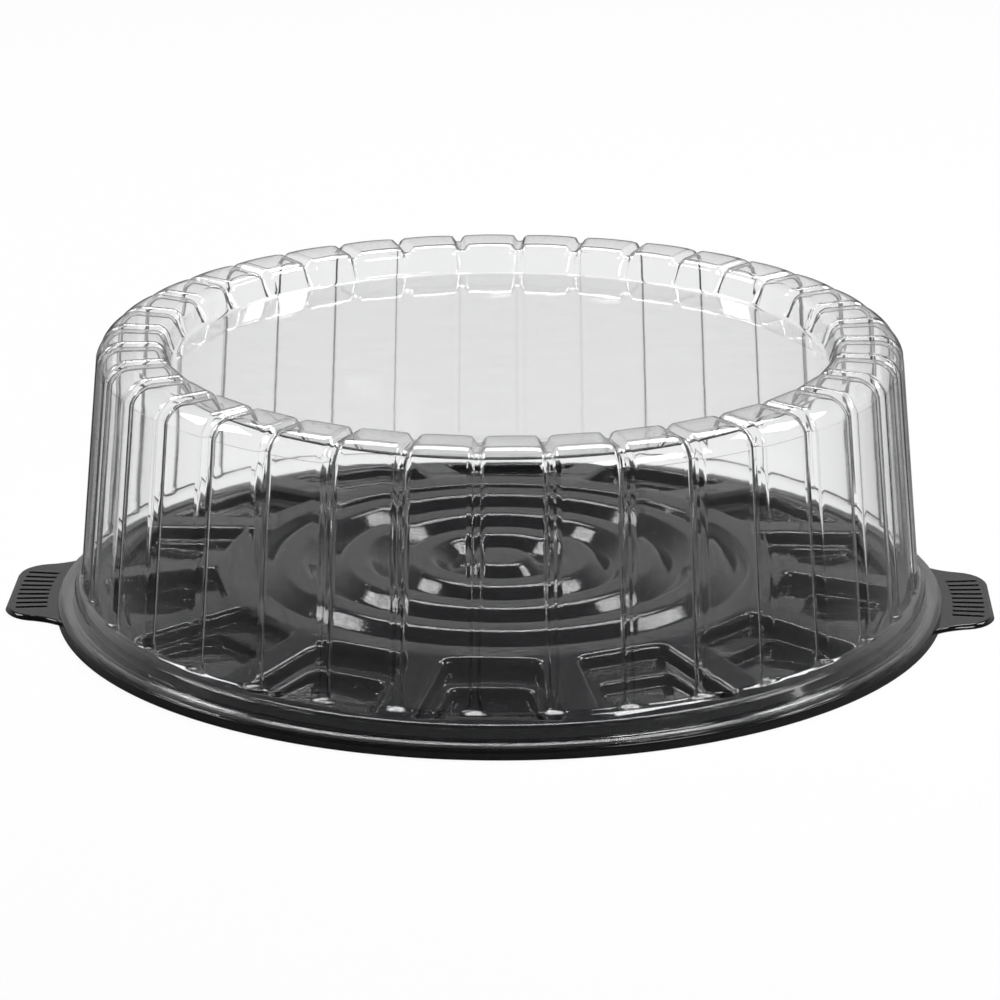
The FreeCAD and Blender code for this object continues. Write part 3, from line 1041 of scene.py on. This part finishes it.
    def round_shoulder(self, bm: bmesh.types.BMesh) -> None:
        """Rounds the ring where the shoulder drops to the rim.

        Args:
            bm: The whole tray.
        """
        ring = []
        for edge in bm.edges:
            off = [abs(vert.co.xy.length / MM - self.shoulder_radius) for vert in edge.verts]
            if max(off) < SAME_PLACE:
                ring.append(edge)
        round_edges(bm, ring, self.shoulder_round)

    def build(self, material: bpy.types.Material) -> bpy.types.Object:
        """Builds the tray without its tabs, with the middle of a pocket at its front.

        Args:
            material: Its finish.

        Returns:
            The tray's object.
        """
        bm = self.form_pocket()
        others = self.pockets - 1
        bmesh.ops.spin(
            bm, geom=bm.verts[:] + bm.edges[:] + bm.faces[:], cent=ORIGIN, axis=UPRIGHT,
            dvec=ORIGIN, angle=math.tau * others / self.pockets, steps=others, use_duplicate=True,
        )
        around = bmesh.new()
        for corners in (self.deck_corners(), self.rim_corners()):
            turn_section(around, corners, self.pockets * self.columns)
        turn_mesh(around, math.pi / self.pockets)
        add_mesh(bm, around)
        face_up(bm)
        turn_mesh(bm, -math.pi / 2.0)
        self.round_shoulder(bm)
        shell = finish_piece("tray_shell", bm, material, Body.TRAY, self.wall)
        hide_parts("base_tray")
        return shell


@dataclass
class FingerTab:
    """A finger tab outside the rim; sizes are in millimetres.

    Attributes:
        side: The side of the tray that it is on.
        root_radius: The radius at which it leaves the skirt.
        root_half: Half its width there.
        root_cuts: The number of points along its root.
        neck: The distance at which its root has narrowed.
        neck_half: Half its width there.
        neck_round: Its rounding there.
        tip: The distance of its tip.
        tip_half: Half the width of its tip before rounding.
        tip_round: The rounding of its tip.
        top: The height of its upper skin.
        edge: The height of its turned-down edge.
        edge_round: The rounding from its top to that edge.
        turn_down: How far that edge stands out below its top.
        wall: The thickness of the sheet.
        grips: The number of grip ridges.
        grip_pitch: The distance between them.
        grip_shift: How far they lie beyond the middle between the root and the tip.
        grip_length: Their length.
        grip_width: Their width.
        grip_height: How far they stand up.
        grip_round: The rounding of their edges.
    """

    side: Side
    root_radius: float = 154.5
    root_half: float = 33.0
    root_cuts: int = 9
    neck: float = 157.5
    neck_half: float = 28.2
    neck_round: Rounding = (4.0, 6)
    tip: float = 171.0
    tip_half: float = 25.6
    tip_round: Rounding = (9.0, 6)
    top: float = 1.9
    edge: float = 0.75
    edge_round: Rounding = (0.5, 3)
    turn_down: float = 1.4
    wall: float = 0.7
    grips: int = 9
    grip_pitch: float = 4.5
    grip_shift: float = 1.0
    grip_length: float = 11.0
    grip_width: float = 1.7
    grip_height: float = 0.45
    grip_round: Rounding = (0.4, 3)

    def lay_outline(self, bm: bmesh.types.BMesh) -> None:
        """Lays out the tab's flat top, with its root on the skirt's arc.

        Args:
            bm: An empty mesh.
        """
        root = math.sqrt(self.root_radius ** 2 - self.root_half ** 2)
        sides = ((root, self.root_half), (self.neck, self.neck_half), (self.tip, self.tip_half))
        outline = [(along, -half) for along, half in sides] + list(reversed(sides))
        verts = [bm.verts.new((along * MM, aside * MM, self.top * MM)) for along, aside in outline]
        bm.faces.new(verts)
        round_corners(bm, (verts[1], verts[4]), self.neck_round)
        round_corners(bm, (verts[2], verts[3]), self.tip_round)
        back = [
            edge for edge in bm.edges
            if all(abs(vert.co.x / MM - root) < SAME_PLACE for vert in edge.verts)
        ]
        bmesh.ops.subdivide_edges(bm, edges=back, cuts=self.root_cuts)
        for vert in bm.verts:
            if abs(vert.co.x / MM - root) < SAME_PLACE:
                vert.co.x = math.sqrt((self.root_radius * MM) ** 2 - vert.co.y ** 2)

    def turn_edge(self, bm: bmesh.types.BMesh) -> None:
        """Turns the tab's free edge down and rounds it.

        Args:
            bm: The flat top.
        """
        limit = (self.root_radius + SAME_PLACE) * MM
        free = [edge for edge in bm.edges if any(v.co.xy.length > limit for v in edge.verts)]
        made = bmesh.ops.extrude_edge_only(bm, edges=free)["geom"]
        middle = Vector((self.neck * MM, 0.0, 0.0))
        for vert in (item for item in made if isinstance(item, bmesh.types.BMVert)):
            outward = (vert.co - middle).normalized()
            vert.co.x += outward.x * self.turn_down * MM
            vert.co.y += outward.y * self.turn_down * MM
            vert.co.z = self.edge * MM
        face_up(bm)
        brink = [
            edge for edge in bm.edges
            if len(edge.link_faces) == 2 and edge.calc_face_angle() > BRINK_ANGLE
        ]
        round_edges(bm, brink, self.edge_round)

    def raise_grips(self, bm: bmesh.types.BMesh) -> None:
        """Sets the grip ridges on the tab's top, fanned about the tray's middle.

        Args:
            bm: The tab.
        """
        across = (self.root_radius + self.tip) / 2.0 + self.grip_shift
        size = Vector((self.grip_length, self.grip_width, self.grip_height * 2.0)) * MM
        for grip in range(self.grips):
            part = bmesh.new()
            bmesh.ops.create_cube(part, size=1.0)
            bmesh.ops.scale(part, verts=part.verts[:], vec=size)
            upper = [edge for edge in part.edges if any(v.co.z > 0.0 for v in edge.verts)]
            round_edges(part, upper, self.grip_round)
            bmesh.ops.translate(part, verts=part.verts[:], vec=Vector((across, 0.0, self.top)) * MM)
            turn_mesh(part, (grip - (self.grips - 1) / 2.0) * self.grip_pitch / across)
            add_mesh(bm, part)

    def build(self, material: bpy.types.Material) -> bpy.types.Object:
        """Builds the tab.

        Args:
            material: Its finish.

        Returns:
            The tab's object.
        """
        bm = bmesh.new()
        self.lay_outline(bm)
        self.turn_edge(bm)
        bmesh.ops.solidify(bm, geom=bm.faces[:], thickness=self.wall * MM)
        self.raise_grips(bm)
        if self.side is Side.LEFT:
            turn_mesh(bm, math.pi)
        name = "finger_tab_" + self.side.value
        return finish_piece(name, bm, material, Body.TRAY)


# The studio


@dataclass(frozen=True)
class Softbox:
    """A lamp with a plain white front.

    Attributes:
        name: The lamp's name.
        place: Where it stands, in metres.
        width: The width of its front, in metres.
        height: The height of its front, in metres.
        brightness: The brightness of its front, where 1 is white.
    """

    name: str
    place: tuple[float, float, float]
    width: float
    height: float
    brightness: float

    def build(self, target: Vector) -> None:
        """Hangs the lamp so that it faces a point.

        Args:
            target: The point.
        """
        data = bpy.data.lights.new(self.name, "AREA")
        data.shape = "RECTANGLE"
        data.size, data.size_y = self.width, self.height
        data.energy = self.brightness * math.pi * self.width * self.height
        lamp = add_object(self.name, data)
        lamp.location = Vector(self.place)
        lamp.rotation_mode = "QUATERNION"
        lamp.rotation_quaternion = (target - lamp.location).to_track_quat("-Z", "Y")
        lamp.visible_camera = False


@dataclass
class Studio:
    """The camera, the floor, the surroundings and the lamps.

    Attributes:
        target: The point that the camera looks at, in metres.
        distance: The camera's distance from it, in metres.
        elevation: The camera's height over the horizon, in degrees.
        turn: How far the camera stands to the right of the front, in degrees.
        lens: The focal length, in millimetres.
        floor_half: Half the width of the floor, in metres.
        climb: The levels of the surroundings in reflections, from the horizon up.
        behind: What those levels are multiplied by, from the front to the back.
        lamps: The softboxes.
    """

    target: tuple[float, float, float] = (0.0, 0.0, 0.0364)
    distance: float = 1.5438
    elevation: float = 18.25
    turn: float = 1.6
    lens: float = 159.36
    floor_half: float = 8.0
    climb: tuple[tuple[float, float], ...] = (
        (0.0, 0.36), (0.22, 0.48), (0.36, 0.50), (0.58, 0.16), (1.0, 0.10),
    )
    behind: tuple[tuple[float, float], ...] = (
        (0.0, 0.10), (0.45, 0.16), (0.75, 1.0), (1.0, 1.0),
    )
    lamps: tuple[Softbox, ...] = (
        Softbox("back_softbox", (0.05, 0.85, 1.28), 1.1, 0.5, 7.0),
        Softbox("front_softbox", (0.80, -0.75, 0.95), 0.6, 0.4, 10.0),
        Softbox("left_softbox", (-1.15, 0.40, 1.20), 0.55, 0.5, 9.0),
        Softbox("right_softbox", (1.15, 0.40, 1.20), 0.55, 0.5, 9.0),
    )

    def build_camera(self) -> None:
        """Sets the camera at the photograph's angle."""
        data = bpy.data.cameras.new("camera")
        data.sensor_width = SENSOR_WIDTH
        data.lens = self.lens
        side, rise = math.radians(self.turn), math.radians(self.elevation)
        back = Vector((
            math.sin(side) * math.cos(rise), -math.cos(side) * math.cos(rise), math.sin(rise)
        ))
        camera = add_object("camera", data)
        camera.location = Vector(self.target) + back * self.distance
        camera.rotation_mode = "QUATERNION"
        camera.rotation_quaternion = (-back).to_track_quat("-Z", "Y")
        bpy.context.scene.camera = camera

    def build_floor(self, material: bpy.types.Material) -> None:
        """Lays the floor under the object.

        Args:
            material: Its finish.
        """
        bm = bmesh.new()
        bmesh.ops.create_grid(bm, x_segments=1, y_segments=1, size=self.floor_half)
        mesh = bpy.data.meshes.new("floor")
        bm.to_mesh(mesh)
        bm.free()
        mesh.materials.append(material)
        floor = add_object("floor", mesh)

    def build_surroundings(self) -> None:
        """Makes the soft surroundings: white where they are seen, and a dim studio elsewhere."""
        world = bpy.data.worlds.new("studio")
        world.use_nodes = True
        bpy.context.scene.world = world
        graph = Graph(world.node_tree)
        heading = graph.out(graph.add("ShaderNodeTexCoord"), "Generated")
        parts = graph.add("ShaderNodeSeparateXYZ", {}, {0: heading})
        climb = graph.ramp(self.climb, graph.out(parts, "Z"))
        behind = graph.ramp(self.behind, graph.out(parts, "Y") * 0.5 + 0.5)
        tone = graph.blend(1.0, climb, behind, "MULTIPLY")
        studio = graph.add("ShaderNodeBackground", {}, {"Color": tone, "Strength": 1.0})
        white = graph.add("ShaderNodeBackground", {}, {"Color": grey(1.0), "Strength": 1.0})
        mixed = graph.mix(straight_view(graph)[0], studio, white)
        graph.add("ShaderNodeOutputWorld", {}, {"Surface": graph.out(mixed)})

    def build(self, floor_finish: bpy.types.Material) -> None:
        """Builds the studio.

        Args:
            floor_finish: The floor's finish.
        """
        self.build_camera()
        self.build_floor(floor_finish)
        self.build_surroundings()
        for lamp in self.lamps:
            lamp.build(Vector(self.target))
        bpy.context.scene.view_settings.view_transform = "Standard"


def report(piece: bpy.types.Object) -> None:
    """Logs a piece and its number of faces."""
    log.info("%s: %d faces", piece.name, len(piece.data.polygons))


def main() -> None:
    """Builds the container and the studio."""
    logging.basicConfig(level=logging.INFO, format="%(name)s: %(message)s")
    black = BlackSheet().make()
    report(Tray().build(black))
    for side in Side:
        report(FingerTab(side).build(black))
    report(Dome().build(ClearSheet().make()))
    Studio().build(PaleFloor().make())


if __name__ == "__main__":
    main()
